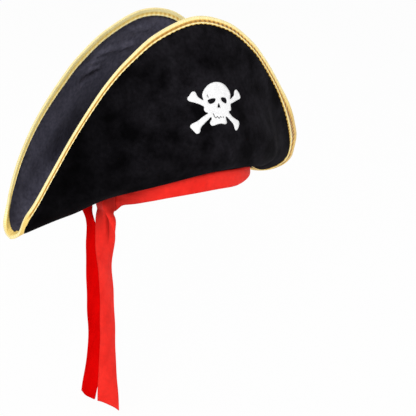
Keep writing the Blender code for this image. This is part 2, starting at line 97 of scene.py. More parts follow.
EDGE_FRONT = ((-204, -17, 0), (-195, -24, 16), (-178, -31.5, 46.5), (-156, -36.5, 80), (-134.5, -40, 108),
              (-113, -42, 131.5), (-87.5, -44, 153), (-50, -45.5, 175.5), (1, -46, 188), (47.5, -46, 177.5),
              (84.5, -45, 153.5), (108.5, -43.5, 129.5), (131, -41, 102), (157, -35.5, 66), (182, -23, 25))
EDGE_REAR = ((-203.8, 16, 1), (-195.5, 24, 16), (-178, 32.5, 45), (-155.5, 40, 74), (-134, 44, 98),
             (-112, 46, 120), (-87, 47, 142.5), (-49, 46, 168), (-1, 44, 186), (45, 44, 180.5),
             (85, 44, 153), (109, 43, 127.5), (132, 40.5, 99.5), (157.5, 35, 64.5), (182, 23, 24))

# Cloth on the brim: rows and columns, depth of the groove beside the braid, where its border lines run
VELVET_GRID = (169, 53)
FACING_GRID = (253, 89)
CLOTH_GROOVE = 0.9
GROOVE_LINES = (2.0, 0.8, -0.4)
CLOTH_LEAST = 0.2
CLOTH_BACK = 0.1

# Crown and bands of the part in millimetres; walls run through levels of height and scale
CROWN_HALF_X = 102.0
CROWN_HALF_Y = 80.0
CROWN_SIDE = ((0.8, 1.0), (14, 1.0), (21, 1.0), (24.5, 1.01), (27, 1.043), (29.5, 1.043), (33, 1.0),
              (40, 0.993), (50, 0.986), (60, 0.975), (73, 0.95), (84, 0.915))
CROWN_TOP = ((84.6, 0.905), (90.5, 0.84), (95.0, 0.70), (98.2, 0.48), (99.6, 0.24), (100.0, 0.01))
LINING = ((23.0, 1.0), (45, 0.988), (60, 0.972), (72, 0.945), (81.5, 0.905), (86.5, 0.84), (91.0, 0.70),
          (94.2, 0.48), (95.6, 0.24), (96.0, 0.01))
SWEATBAND = ((0.8, 1.0), (8.0, 0.998), (15.0, 0.998), (22.3, 1.0))
WALL_COLUMNS = 180
ROWS_PER_LEVEL = 8
PLEAT_DEPTH = 0.5
HEM = 0.8

# Red band: its lower edge at 12 angles, then its top, height, back, edge and roll in millimetres
BAND_LOW = (-4.0, 0.0, 2.0, 2.0, 1.0, -3.0, -9.0, -4.5, 2.8, 3.3, -3.2, -6.5)
BAND_TOP = 24.0
BAND_HEIGHT = 20.5
BAND_BACK = 0.35
BAND_EDGE = 0.7
BAND_ROLL = 1.9
BAND_COLUMNS = 288
BAND_ROWS = 21
# Angles in degrees where it gathers, dips into the front tail, is turned in under the hem and carries a
# painted shadow of the brim
GATHER_AT = 206
GATHER_WIDE = 16
GATHER_HEIGHT = 0.6
DIP_AT = 199
DIP_WIDE = 4.5
BAND_DIP = 7.0
TAILS_AT = 180
TURN_IN = 5.0
TURN_DROP = 8
TURN_FROM = 35
TURN_FADE = 15
SHADE_AT = 187
SHADE_HALF = 48
SHADE_FADE = 26
BAND_SHADE = 0.28

# Fold of the sash: its span in degrees, its section in millimetres and where its lower edge rises
SASH_FROM = 160
SASH_TO = 202
SASH_COLUMNS = 73
SASH_ROWS = 17
SASH_END = 5
SASH_END_ROLL = 0.35
SASH_BACK = 1.3
SASH_EDGE = 1.6
SASH_ROLL = 1.3
SASH_PLEAT = 0.3
SASH_LOW = -9.2
SASH_TOP = 5.0
SASH_RISE = 6.0
SASH_RISE_FROM = 188
SASH_RISE_SPAN = 14

# Tails from the hinge at the sewn top to the cut end, at steps that lengthen downwards
# turn: facing of the ribbon in degrees, drift: how far it swells out or in, lean: to the back at its end
# sway: to the back at its top, pleat: height of the fold at its top, slant: of its cut end
TAIL_FRONT_HINGE = (-103.0, -18.0, -10.0)
TAIL_FRONT_TURN = (-88, -86, -64, -68, -86, -90, -87, -80, -48)
TAIL_FRONT_DRIFT = (0, 0, 0.6, -0.6, -2.0, 0.4, 0.7, -0.3, -2.1)
TAIL_FRONT_LEAN = 5.2
TAIL_FRONT_SWAY = 0.0
TAIL_FRONT_PLEAT = 4.0
TAIL_FRONT_SLANT = 0.45
TAIL_FRONT_LENGTH = 244.0
TAIL_REAR_HINGE = (-104.0, 13.5, -10.0)
TAIL_REAR_TURN = (-86, -88, -98, -100, -95, -86, -85, -84, -88)
TAIL_REAR_DRIFT = (0, 0, 0.2, 2.0, 0.6, 1.4, 0.6, -0.4, -13.5)
TAIL_REAR_LEAN = 0.0
TAIL_REAR_SWAY = 5.5
TAIL_REAR_PLEAT = 1.0
TAIL_REAR_SLANT = 0.08
TAIL_REAR_LENGTH = 238.0
TAIL_CURL = 2.4
RIBBON = 25.0
RIBBON_HALF_THICK = 0.45
RIBBON_HEM = 0.3
END_HEM = 5
SIDE_HEM = 0.44
TUCK_ROWS = 13
TAIL_ROWS = 161
TAIL_COLUMNS = 27
# Above its hinge a tail runs up over the sash fold, off the crown by TAIL_HUG; it bends across the hinge
TAIL_TUCK = 15.0
TAIL_HUG = 3.7
# Where its sway, its lie over the sash fold and its painted shadow of the brim end below the hinge, and over
# what length they fade
SWAY_END = 24
SWAY_FADE = 18
OVER_END = 6
OVER_FADE = 8
TAIL_SHADE = 0.44
TAIL_SHADE_END = 40
TAIL_SHADE_FADE = 44
# Slanting crest and valley at the top: start, rise, end and fall in millimetres below the hinge
CREST_SPAN = (-14, 14, 36, 20)
CREST_FROM = -6
CREST_RUN = 32
CREST_SHARP = 0.12
CREST_SOFT = 0.30
VALLEY_SPAN = (-2, 14, 52, 34)
VALLEY_AT = 0.07
VALLEY_WIDE = 0.075
VALLEY_SHARE = 0.8
TAIL_WAVE = 0.25

# Gold braid in millimetres: its width at each station of the front and the rear half
BRAID_FRONT = (5.0, 4.1, 3.8, 3.8, 4.0, 4.4, 5.0, 6.2, 7.4, 7.8, 8.0, 8.2, 8.8, 14.0, 18.0)
BRAID_REAR = (2.2, 2.4, 2.8, 3.4, 4.2, 4.9, 5.4, 6.0, 6.4, 6.8, 6.8, 6.8, 7.6, 8.0, 8.0)
# Width at which its lobes are full, the most they swell, and their height outside and inside
BRAID_FULL = 7.8
BRAID_SWELL = 1.15
BRAID_LOBE = 0.9
INNER_LOBE = 0.4
# Greatest width inside, clearance over the cloth, and how far the rear half stands off the facing
INNER_WIDTH = 7.2
BRAID_CLEAR = 0.25
BRAID_STAND = 3.4
STAND_FROM = 0.4
STAND_SPAN = 2.0
# Groove between its two rows of ribs and the sewn border, as shares of its width from the edge
GROOVE_FROM = 0.42
GROOVE_TO = 0.68
BRAID_SEWN = 0.97
SEWN_DEPTH = 0.7
BEAD = 0.035
RIB_PITCH = 6.6
RIB_STEPS = 12
THREADS_PER_RIB = 3
BRAID_LINES = (1.0, 0.95, 0.88, 0.80, 0.73, 0.68, 0.62, 0.56, 0.50, 0.44, 0.35, 0.24, 0.14, 0.06)
ROLL_TURNS = (66, 33, 0, -33, -66)
CORNER_SOFT = 9
# Spread of its turned ends past the near and the far point, and the stations over which they spread
TIP_SPREAD = (-5.0, 0.0, -2.2)
NEAR_SPAN = 0.8
REAR_TIP_HIGH = 0.35
FAR_SPREAD = (3.6, 0.0, -1.6)
FAR_FROM = 12
FAR_SPAN = 1.5
# Relief tones from 0 dark to 1 pale, with painted highlights on the rib backs and painted shade in the
# groove: rib backs, groove with its dark spots, plain near end, rolled edge
RIB_TONE = 0.62
EDGE_RIB_TONE = 0.33
BORDER_RIB_TONE = 0.38
GROOVE_TONE = 0.30
GROOVE_UNSPOTTED = 0.10
SPOT_TONE = 0.30
INNER_GROOVE_TONE = 0.60
INNER_SPOT_TONE = 0.25
SPOTS_LEAST = 0.25
SPOTS_FROM = 7.4
SPOTS_SPAN = 1.8
PLAIN_FROM = 0.1
PLAIN_SPAN = 0.5
PLAIN_RISE = 0.8
PLAIN_TONE = 0.66
PLAIN_THREAD = 0.14
ROLL_TONE = 0.60
ROLL_THREAD = 0.35
FAR_DEEP = 0.32

# Creases of the slack facing in millimetres: from (x, z) to (x, z), half width and rise
CREASES = (((-56, 143), (-34, 145), 2.2, 2.8), ((-30, 144), (-3, 147), 2.2, 3.0),
           ((-14, 166), (15, 165), 2.6, 2.4), ((-78, 115), (-52, 123), 2.6, -2.6),
           ((-69, 125), (-50, 126.5), 2.2, 2.4), ((-63, 135), (-46, 135), 2.2, 2.0),
           ((-82, 134), (-66, 138), 2.6, -1.8))

# Emblem in millimetres on the front flap
EMBLEM_CENTRE = (3.7, 98.0)
EMBLEM_TILT = math.radians(-8.0)
EMBLEM_SCALE_X = 0.97
EMBLEM_SCALE_Z = 0.85
EMBLEM_SLANT = 0.14
EMBLEM_CLOTH = 0.5
EMBLEM_LIFT = 0.05
EMBLEM_EDGES = (12.0, 6.0, 3.5)
OUTLINE_CUTS = 3
SLIVER = 0.02
RAY_START = -300.0
EMBLEM_OUTLINE = (
    (-7.5, -24.2), (-10.2, -23.3), (-11.4, -20.1), (-9.1, -16.3), (-9.9, -13.6), (-13.2, -16.7),
    (-18.8, -21.8), (-22.9, -26.6), (-24.0, -31.6), (-25.5, -33.5), (-27.5, -34.1), (-29.4, -33.0),
    (-31.6, -30.6), (-33.8, -28.4), (-35.4, -26.2), (-34.8, -23.8), (-32.2, -21.8), (-29.0, -20.2),
    (-25.6, -18.2), (-19.0, -12.9), (-13.3, -9.4), (-16.3, -8.0), (-18.3, -5.4), (-18.4, -1.6),
    (-22.6, 0.5), (-26.6, 2.0), (-31.6, 3.2), (-36.0, 4.2), (-38.8, 6.4), (-38.4, 9.0),
    (-36.4, 11.6), (-35.0, 14.2), (-33.0, 16.0), (-30.4, 16.0), (-28.6, 14.0), (-27.2, 11.2),
    (-24.4, 8.6), (-18.8, 5.8), (-20.3, 10.5), (-20.0, 14.7), (-18.6, 18.2), (-16.2, 21.5),
    (-12.0, 25.2), (-6.0, 27.6), (0.0, 28.1), (6.2, 27.2), (12.0, 24.6), (16.6, 20.9),
    (19.8, 16.8), (21.6, 12.0), (20.8, 6.9), (24.8, 8.9), (28.2, 11.4), (29.2, 15.9),
    (30.9, 17.9), (33.1, 18.1), (35.4, 16.2), (37.9, 12.9), (39.6, 9.4), (38.7, 7.0),
    (32.2, 4.9), (25.6, 2.7), (20.9, 0.9), (21.0, -3.4), (20.4, -6.4), (16.8, -8.1),
    (21.7, -13.7), (26.8, -17.0), (31.2, -19.0), (33.1, -21.5), (32.7, -24.7), (30.7, -28.3),
    (28.5, -30.5), (26.5, -30.5), (25.0, -28.4), (24.0, -24.8), (21.0, -20.8), (11.8, -13.2),
    (11.6, -17.7), (12.3, -20.3), (10.2, -22.6), (4.0, -21.6), (-2.0, -22.5))
EYE_RIGHT = ((-13.4, 6.0), (-9.7, 7.8), (-4.0, 8.7), (-2.0, 7.2), (-4.0, 3.9), (-9.3, 1.7), (-12.2, 2.9))
EYE_LEFT = ((6.0, 8.9), (9.3, 9.6), (14.2, 8.0), (14.8, 3.8), (13.2, 1.9), (8.4, 3.9), (6.0, 6.4))
NOSE = ((2.0, 3.0), (4.4, -3.2), (2.2, -2.4), (-0.2, -2.6))
TEETH = ((-6.7, -9.5), (-5.5, -12.6), (-3.5, -15.1), (-1.3, -13.0), (1.1, -15.5), (3.6, -13.2), (4.8, -14.6))
TEETH_CUT = 1.1
CRACK = ((-14.0, 12.8), (-13.2, 11.2), (-12.4, 9.0))
CRACK_CUT = 0.8
TOOTH_DOT = (7.5, -14.1)
TOOTH_DOT_RADIUS = 0.8

# Camera in metres: where it stands, where it looks, lens in millimetres
CAMERA_PLACE = (-0.7272, -0.9017, 0.3530)
CAMERA_AIM = (0.0278, -0.0380, -0.0348)
CAMERA_LENS = 90.27

# Stage in metres; each lamp has its place, its aim, its size and its power in watts
FLOOR_Z = -0.285
FLOOR_HALF = 12.0
FLOOR_GLOW = 0.95
WORLD_LIGHT = 0.57
LAMPS = (("key_light", (-1.7, -1.65, 1.35), (0.0, 0.0, 0.03), 1.5, 36.0),
         ("fill_light", (1.5, -1.7, 0.9), (0.0, 0.0, 0.05), 1.4, 7.0),
         ("back_light", (0.0, 1.7, 1.8), (0.0, 0.0, 0.05), 1.3, 10.0))


# Materials

# The mesh attribute relief is LEVEL on flat cloth and one higher on a crease of CREASE_FULL millimetres;
# velvet paints shade where it is low and highlights where it is high, and some pieces add a painted shadow to
# it
LEVEL = 0.5
CREASE_FULL = 7.0
CREASE_SHADE = (0.45, 0.40, 0.40)
CREASE_HIGHLIGHT = (1.25, 1.25, 1.25)
PLAIN = (1.0, 1.0, 1.0)
# Share of the colour left by the painted shade on the low-X side of a velvet
PAINTED_SIDE_SHADE = 0.3
# Braid colours from the painted shade of its grooves to the painted highlights of its rib backs
GOLD_STOPS = ((0.0, (0.11, 0.036, 0.002)), (0.30, (0.66, 0.33, 0.038)),
              (0.60, (1.0, 0.75, 0.22)), (1.0, (1.0, 0.95, 0.59)))


def new_material(name):
    mat = bpy.data.materials.new(name)
    mat.use_nodes = True
    tree = mat.node_tree
    return mat, tree, tree.nodes["Principled BSDF"]


def add(tree, kind, **values):
    """New node with its inputs set by name."""
    node = tree.nodes.new(kind)
    for name, value in values.items():
        node.inputs[name.replace("_", " ")].default_value = value
    return node


def mottle(tree, scale, detail):
    """Cloud pattern in object space; scale is in clouds per metre."""
    place = tree.nodes.new("ShaderNodeTexCoord")
    noise = add(tree, "ShaderNodeTexNoise", Scale=scale, Detail=detail, Roughness=0.55)
    tree.links.new(place.outputs["Object"], noise.inputs["Vector"])
    return noise.outputs["Fac"]


def ramp(tree, source, stops):
    node = tree.nodes.new("ShaderNodeValToRGB")
    while len(node.color_ramp.elements) < len(stops):
        node.color_ramp.elements.new(0.5)
    for element, (place, colour) in zip(node.color_ramp.elements, stops):
        element.position = place
        element.color = (*colour, 1.0)
    tree.links.new(source, node.inputs["Fac"])
    return node.outputs["Color"]


def mix(tree, blend, share, first, second):
    node = tree.nodes.new("ShaderNodeMix")
    node.data_type = "RGBA"
    node.blend_type = blend
    node.inputs["Factor"].default_value = share
    tree.links.new(first, node.inputs["A"])
    tree.links.new(second, node.inputs["B"])
    return node.outputs["Result"]


def bump(tree, shader, height, distance, strength):
    node = add(tree, "ShaderNodeBump", Strength=strength, Distance=distance)
    tree.links.new(height, node.inputs["Height"])
    tree.links.new(node.outputs["Normal"], shader.inputs["Normal"])


def velvet(name, dark, light, sheen, sheen_tint, cloud, grain, gloss, roughness, shade_span=None):
    """Short pile: cloudy brushed patches, fine fibre grain and a sheen, with painted shade in its creases and
    painted highlights on their ridges.

    cloud is in patches per metre, grain the contrast of the fibres, and the last argument the span along X
    across which a painted shade on the side of lower X fades out.
    """
    mat, tree, shader = new_material(name)
    patches = ramp(tree, mottle(tree, cloud, 3.0), ((0.36, dark), (0.66, light)))
    low = (1 - grain,) * 3
    high = (1 + 0.6 * grain,) * 3
    streaks = ramp(tree, mottle(tree, cloud * 7, 4.0), ((0.30, low), (0.75, high)))
    tone = mix(tree, "MULTIPLY", 1.0, patches, streaks)
    height = tree.nodes.new("ShaderNodeAttribute")
    height.attribute_name = "relief"
    # Painted shade in the hollows and painted highlights on the ridges, from the relief attribute
    crease_shading = ramp(tree, height.outputs["Fac"], ((0.0, CREASE_SHADE), (LEVEL, PLAIN), (1.0, CREASE_HIGHLIGHT)))
    tone = mix(tree, "MULTIPLY", 1.0, tone, crease_shading)
    # Painted shade: darker towards lower X, fading out across the given span
    if shade_span is not None:
        place = tree.nodes.new("ShaderNodeTexCoord")
        axes = tree.nodes.new("ShaderNodeSeparateXYZ")
        span = add(tree, "ShaderNodeMapRange", From_Min=shade_span[0] * MM, From_Max=shade_span[1] * MM)
        span.interpolation_type = "SMOOTHSTEP"
        tree.links.new(place.outputs["Object"], axes.inputs["Vector"])
        tree.links.new(axes.outputs["X"], span.inputs["Value"])
        side_shade = ramp(tree, span.outputs["Result"], ((0.0, (PAINTED_SIDE_SHADE,) * 3), (1.0, PLAIN)))
        tone = mix(tree, "MULTIPLY", 1.0, tone, side_shade)
    tree.links.new(tone, shader.inputs["Base Color"])
    shader.inputs["Roughness"].default_value = roughness
    shader.inputs["Specular IOR Level"].default_value = gloss
    shader.inputs["Sheen Weight"].default_value = sheen
    shader.inputs["Sheen Roughness"].default_value = 0.42
    shader.inputs["Sheen Tint"].default_value = (*sheen_tint, 1.0)
    bump(tree, shader, mottle(tree, 1400.0, 2.0), 0.0005, 0.35)
    return mat


def woven(name, dark, light, threads):
    """Plain woven cloth with two crossing sets of threads."""
    mat, tree, shader = new_material(name)
    place = tree.nodes.new("ShaderNodeTexCoord")
    heights = []
    for direction in ("X", "Z"):
        wave = add(tree, "ShaderNodeTexWave", Scale=threads, Distortion=0.6, Detail=1.0)
        wave.bands_direction = direction
        tree.links.new(place.outputs["Object"], wave.inputs["Vector"])
        heights.append(wave.outputs["Color"])
    weave = mix(tree, "MULTIPLY", 1.0, heights[0], heights[1])
    tone = ramp(tree, mottle(tree, 60.0, 4.0), ((0.3, dark), (0.7, light)))
    tree.links.new(mix(tree, "OVERLAY", 0.25, tone, weave), shader.inputs["Base Color"])
    shader.inputs["Roughness"].default_value = 0.8
    shader.inputs["Sheen Weight"].default_value = 0.1
    bump(tree, shader, weave, 0.0003, 0.4)
    return mat


def gold_thread():
    """Metallic thread: painted shade between the ribs, painted highlights on their backs; relief is kept on
    the mesh.
    """
    mat, tree, shader = new_material("gold_braid_thread")
    relief = tree.nodes.new("ShaderNodeAttribute")
    relief.attribute_name = "relief"
    tone = ramp(tree, relief.outputs["Fac"], GOLD_STOPS)
    shade = ramp(tree, mottle(tree, 90.0, 3.0), ((0.3, (0.90, 0.87, 0.80)), (0.7, PLAIN)))
    tree.links.new(mix(tree, "MULTIPLY", 1.0, tone, shade), shader.inputs["Base Color"])
    shader.inputs["Metallic"].default_value = 0.08
    shader.inputs["Roughness"].default_value = 0.42
    bump(tree, shader, mottle(tree, 2400.0, 2.0), 0.0003, 0.3)
    return mat


def printed_white():
    mat, tree, shader = new_material("emblem_white_cloth")
    tone = ramp(tree, mottle(tree, 160.0, 4.0), ((0.28, (0.80, 0.80, 0.81)), (0.52, (0.90, 0.90, 0.90))))
    tree.links.new(tone, shader.inputs["Base Color"])
    shader.inputs["Roughness"].default_value = 0.55
    bump(tree, shader, mottle(tree, 1800.0, 2.0), 0.0002, 0.25)
    return mat


# Black velvet with painted shade towards lower X, fading out from X -150 to -35 mm
BLACK = velvet("velvet_black_pile", (0.0024, 0.0021, 0.0027), (0.0125, 0.0114, 0.0142),
               sheen=0.022, sheen_tint=(0.55, 0.53, 0.60), cloud=34.0, grain=0.4, gloss=0.02,
               roughness=0.9, shade_span=(-150, -35))
# Facing with painted shade towards its left tip, fading out from X -240 to -150 mm
INSIDE = velvet("velvet_facing_pile", (0.083, 0.080, 0.112), (0.121, 0.117, 0.160),
                sheen=0.06, sheen_tint=(0.55, 0.55, 0.68), cloud=34.0, grain=0.35, gloss=0.03,
                roughness=0.85, shade_span=(-240, -150))
RED = velvet("red_velvet_pile", (0.84, 0.019, 0.012), (0.93, 0.029, 0.019),
             sheen=0.0, sheen_tint=(1.0, 0.4, 0.3), cloud=30.0, grain=0.08, gloss=0.10, roughness=0.6)
# Shaded copy of the red velvet for the rear tail: painted shade, darker and without gloss
RED_SHADED = velvet("red_velvet_painted_shade", (0.68, 0.001, 0.001), (0.78, 0.002, 0.002),
                     sheen=0.0, sheen_tint=(1.0, 0.4, 0.3), cloud=30.0, grain=0.08, gloss=0.0,
                     roughness=1.0)
GOLD = gold_thread()
WHITE = printed_white()
CLOTH = woven("lining_weave", (0.012, 0.012, 0.015), (0.030, 0.030, 0.036), 420.0)


# Meshes

def make_piece(name, points, faces, mat, body, nodes, relief=None):
    """Smooth mesh piece from points in millimetres; it stands for CAD nodes and rides on a given body."""
    mesh = bpy.data.meshes.new(name)
    mesh.from_pydata([tuple(p) for p in np.asarray(points) * MM], [], faces)
    # relief also carries the painted shade and highlights that the materials read
    store = mesh.attributes.new("relief", "FLOAT", "POINT")
    heights = np.full(len(points), LEVEL) if relief is None else np.asarray(relief)
    store.data.foreach_set("value", heights.astype(np.float32).ravel())
    work = bmesh.new()
    work.from_mesh(mesh)
    bmesh.ops.recalc_face_normals(work, faces=work.faces)
    work.to_mesh(mesh)
    work.free()
    mesh.polygons.foreach_set("use_smooth", [True] * len(mesh.polygons))
    mesh.materials.append(mat)
    obj = bpy.data.objects.new(name, mesh)
    bpy.context.scene.collection.objects.link(obj)
    if body is not None:
        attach(obj, body)
    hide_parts(*nodes)
    return obj


def grid_faces(rows, columns, start=0, wrap_rows=False, wrap_columns=False):
    faces = []
    for i in range(rows if wrap_rows else rows - 1):
        k = (i + 1) % rows
        for j in range(columns if wrap_columns else columns - 1):
            m = (j + 1) % columns
            faces.append((start + i * columns + j, start + k * columns + j, start + k * columns + m,
                          start + i * columns + m))
    return faces


def closed_sheet(outer, inner, wrap_rows=False):
    """Points and faces of a thin closed body between two grids of the same size."""
    rows, columns = outer.shape[:2]
    count = rows * columns
    faces = grid_faces(rows, columns, 0, wrap_rows) + grid_faces(rows, columns, count, wrap_rows)
    for j in (0, columns - 1):
        for i in range(rows if wrap_rows else rows - 1):
            a = i * columns + j
            b = (i + 1) % rows * columns + j
            faces.append((a, b, count + b, count + a))
    if not wrap_rows:
        for i in (0, rows - 1):
            for j in range(columns - 1):
                a = i * columns + j
                faces.append((a, a + 1, count + a + 1, count + a))
    return np.concatenate([outer.reshape(-1, 3), inner.reshape(-1, 3)]), faces


def smooth_curve(points):
    """Smooth line through equally spaced knots."""
    knots = np.array(points, float)
    slopes = np.gradient(knots, axis=0)

    def value(t):
        t = np.clip(np.asarray(t, float), 0, len(knots) - 1)
        i = np.minimum(t.astype(int), len(knots) - 2)
        f = (t - i)[..., None]
        h00 = 2 * f ** 3 - 3 * f ** 2 + 1
        h10 = f ** 3 - 2 * f ** 2 + f
        h01 = -2 * f ** 3 + 3 * f ** 2
        h11 = f ** 3 - f ** 2
        return h00 * knots[i] + h10 * slopes[i] + h01 * knots[i + 1] + h11 * slopes[i + 1]
    return value


def ease(value):
    """Smooth step from 0 to 1."""
    value = np.clip(value, 0, 1)
    return value * value * (3 - 2 * value)


class BrimHalf:
    """One turned-up half of the brim as a surface of station t and height u."""

    def __init__(self, side, edge, braid):
        self.side = side
        self.braid = braid
        mirror = np.array((1.0, -side, 1.0))
        self.low = smooth_curve(np.array(LOW_FRONT) * mirror)
        self.fold = smooth_curve(np.array(FOLD_FRONT) * mirror)
        self.edge = smooth_curve(edge)
        self.angle = smooth_curve([(a,) for a in RING_ANGLES])
        self.keel_right = smooth_curve(KEEL_RIGHT + ((-SEAM_HALF_X, BRIM_SEAM_Z),))
        self.keel_left = smooth_curve(((SEAM_HALF_X, BRIM_SEAM_Z),) + KEEL_LEFT)

    def seam(self, t):
        phi = np.radians(self.angle(np.clip(t - RING_FIRST, 0, RING_LAST - RING_FIRST))[..., 0])
        phi = np.clip(phi, 0, np.pi)
        ring = np.stack([-SEAM_HALF_X * np.cos(phi), self.side * SEAM_HALF_Y * np.sin(phi),
                         np.full(t.shape, BRIM_SEAM_Z)], -1)
        out = np.stack([-np.cos(phi) / SEAM_HALF_X, self.side * np.sin(phi) / SEAM_HALF_Y,
                        np.zeros(t.shape)], -1)
        right = self.keel_right(t)
        left = self.keel_left(t - RING_LAST)
        keel_side = np.full(t.shape, self.side * KEEL_GAP)
        before = np.stack([right[..., 0], keel_side, right[..., 1]], -1)
        after = np.stack([left[..., 0], keel_side, left[..., 1]], -1)
        across = np.zeros(t.shape + (3,))
        across[..., 1] = self.side
        on_right = (t < RING_FIRST)[..., None]
        on_left = (t > RING_LAST)[..., None]
        point = np.where(on_right, before, np.where(on_left, after, ring))
        out = out / np.linalg.norm(out, axis=-1, keepdims=True)
        near = np.clip(np.minimum(t - RING_FIRST, RING_LAST - t), 0, 1)[..., None]
        away = out * near + across * (1 - near)
        away = np.where(on_right | on_left, across, away)
        return point, away / np.linalg.norm(away, axis=-1, keepdims=True)

    def point(self, t, u):
        t, u = np.broadcast_arrays(np.asarray(t, float), np.asarray(u, float))
        seam, away = self.seam(t)
        fold = self.fold(t)
        edge = self.edge(t)
        middle = 0.5 * (fold + edge)
        middle[..., 1] += self.side * FLAP_BULGE * np.clip((edge - fold)[..., 2] / BULGE_FULL, 0, 1)
        knots = np.stack([seam, self.low(t), fold, middle, edge])
        steps = np.linalg.norm(np.diff(knots, axis=0), axis=-1)[..., None]
        rates = np.diff(knots, axis=0) / steps
        slopes = [away]
        for k in (1, 2, 3):
            slopes.append((rates[k - 1] * steps[k] + rates[k] * steps[k - 1]) / (steps[k] + steps[k - 1]))
        slopes.append(2 * rates[3] - slopes[3])
        result = np.zeros(t.shape + (3,))
        span = np.clip(u.astype(int), 0, EDGE_U - 1)
        for k in range(EDGE_U):
            f = (u - k)[..., None]
            value = ((2 * f ** 3 - 3 * f ** 2 + 1) * knots[k] + (3 * f ** 2 - 2 * f ** 3) * knots[k + 1]
                     + steps[k] * ((f ** 3 - 2 * f ** 2 + f) * slopes[k] + (f ** 3 - f ** 2) * slopes[k + 1]))
            result = np.where((span == k)[..., None], value, result)
        return result

    def normal(self, t, u):
        step = 0.04
        along = self.point(np.minimum(t + step, LAST), u) - self.point(np.maximum(t - step, 0), u)
        up = self.point(t, np.minimum(u + step, EDGE_U)) - self.point(t, np.maximum(u - step, 0))
        out = np.cross(along, up) * -self.side
        return out / np.linalg.norm(out, axis=-1, keepdims=True)

    def offset(self, t, u, distance):
        place = self.point(t, u) + self.normal(t, u) * np.asarray(distance)[..., None]
        place[..., 1] = self.side * np.maximum(self.side * place[..., 1], KEEL_GAP)
        return place

    def braid_width(self, t):
        return float(np.interp(t, np.arange(STATIONS), self.braid))

    def thickness(self, t, u):
        """Half the thickness of the flap, which thins towards its bound edge."""
        from_points = np.minimum(ease(t / THIN_NEAR), ease((LAST - t) / THIN_FAR))
        inside = np.minimum(ease((EDGE_U - u) / THIN_TOP), from_points)
        return EDGE_HALF + (HALF_BRIM - EDGE_HALF) * inside

    def height_from_edge(self, t, distance):
        """Height u of the line that runs the given distance inside the edge, measured square to the edge."""
        samples = 161
        first_step = 8
        least_square = 0.45
        u = np.linspace(EDGE_U, 0, samples)
        line = self.point(np.full(samples, float(t)), u)
        ahead = self.edge(min(t + 0.1, LAST)) - self.edge(max(t - 0.1, 0.0))
        ahead /= np.linalg.norm(ahead)
        down = line[first_step] - line[0]
        down /= np.linalg.norm(down)
        square = max(np.linalg.norm(np.cross(ahead, down)), least_square)
        run = np.linalg.norm(np.diff(line, axis=0), axis=-1) * square
        return float(np.interp(distance, np.concatenate([[0.0], np.cumsum(run)]), u))


# Brim cloth

def brim_cloth(name, half, face, relief, grid, mat, nodes):
    """Cloth on one face of a brim half, sunk in a groove beside the braid; relief gives its height."""
    rows, columns = grid
    stations = np.linspace(0, LAST, rows)
    heights = []
    for t in stations:
        wide = half.braid_width(t)
        if face < 0:
            wide = min(wide, INNER_WIDTH)
        border = [half.height_from_edge(t, d) for d in [wide + line for line in GROOVE_LINES] + [0.5 * wide]]
        top = EDGE_U - 0.4 * math.exp(-(t / 0.2) ** 2)
        heights.append(np.concatenate([np.linspace(0, border[0], columns), border[1:], [top]]))
    u = np.array(heights)
    t = np.repeat(stations[:, None], u.shape[1], axis=1)
    off_near = np.clip(t * 3, 0, 1)
    groove = np.zeros(u.shape)
    groove[:, columns:columns + 2] = CLOTH_GROOVE
    groove *= off_near * np.clip((LAST - t) * 4, 0, 1)
    bare = np.ones(u.shape)
    bare[:, columns:] = 0.0
    lay = relief(half.point(t, u), t, u) * bare * np.clip((EDGE_U - u) * 4, 0, 1) * off_near
    outer = half.offset(t, u, face * np.maximum(half.thickness(t, u) + lay - groove, CLOTH_LEAST))
    inner = half.offset(t, u, face * np.full(t.shape, CLOTH_BACK))
    points, faces = closed_sheet(outer, inner)
    # Painted shade in the cloth's hollows and painted highlights on its swells, from its lay
    height = LEVEL + lay / CREASE_FULL
    return make_piece(name, points, faces, mat, "hat", nodes, np.concatenate([height, height]))


def calm(place, t, u):
    """Slow waves of a padded cloth, with small puckers where it is sewn to the crown."""
    waves = 0.5 * np.sin(1.7 * t + 0.9 * u) * np.sin(1.1 * u + 0.4 * t)
    puckers = 0.5 * np.sin(26 * t) * np.exp(-(u / 0.5) ** 2)
    return waves + puckers


def creased(place, t, u):
    """Slack facing: short slanting creases under the bound edge on a slow swell."""
    height = 0.35 * np.sin(2.3 * t + 1.7 * u)
    upper = ease((u - 2.2) / 0.5)
    for (x0, z0), (x1, z1), width, rise in CREASES:
        span = math.hypot(x1 - x0, z1 - z0)
        ahead = ((place[..., 0] - x0) * (x1 - x0) + (place[..., 2] - z0) * (z1 - z0)) / span
        across = ((place[..., 0] - x0) * (z1 - z0) - (place[..., 2] - z0) * (x1 - x0)) / span
        past = np.maximum(np.abs(ahead - 0.5 * span) - 0.4 * span, 0)
        height += rise * np.exp(-(across / width) ** 2 - (past / (0.2 * span)) ** 2) * upper
    return height


front = BrimHalf(-1, EDGE_FRONT, BRAID_FRONT)
rear = BrimHalf(1, EDGE_REAR, BRAID_REAR)
front_velvet = brim_cloth("front_flap_velvet", front, 1, calm, VELVET_GRID, BLACK,
                          ["brim_front_shell", "brim_front_core"])
brim_cloth("rear_flap_velvet", rear, 1, calm, VELVET_GRID, BLACK,
           ["brim_rear_shell", "brim_rear_core"])
brim_cloth("front_flap_facing", front, -1, creased, FACING_GRID, INSIDE,
           ["brim_front_facing"])
brim_cloth("rear_flap_facing", rear, -1, creased, FACING_GRID, INSIDE,
           ["brim_rear_facing"])


# Gold braid

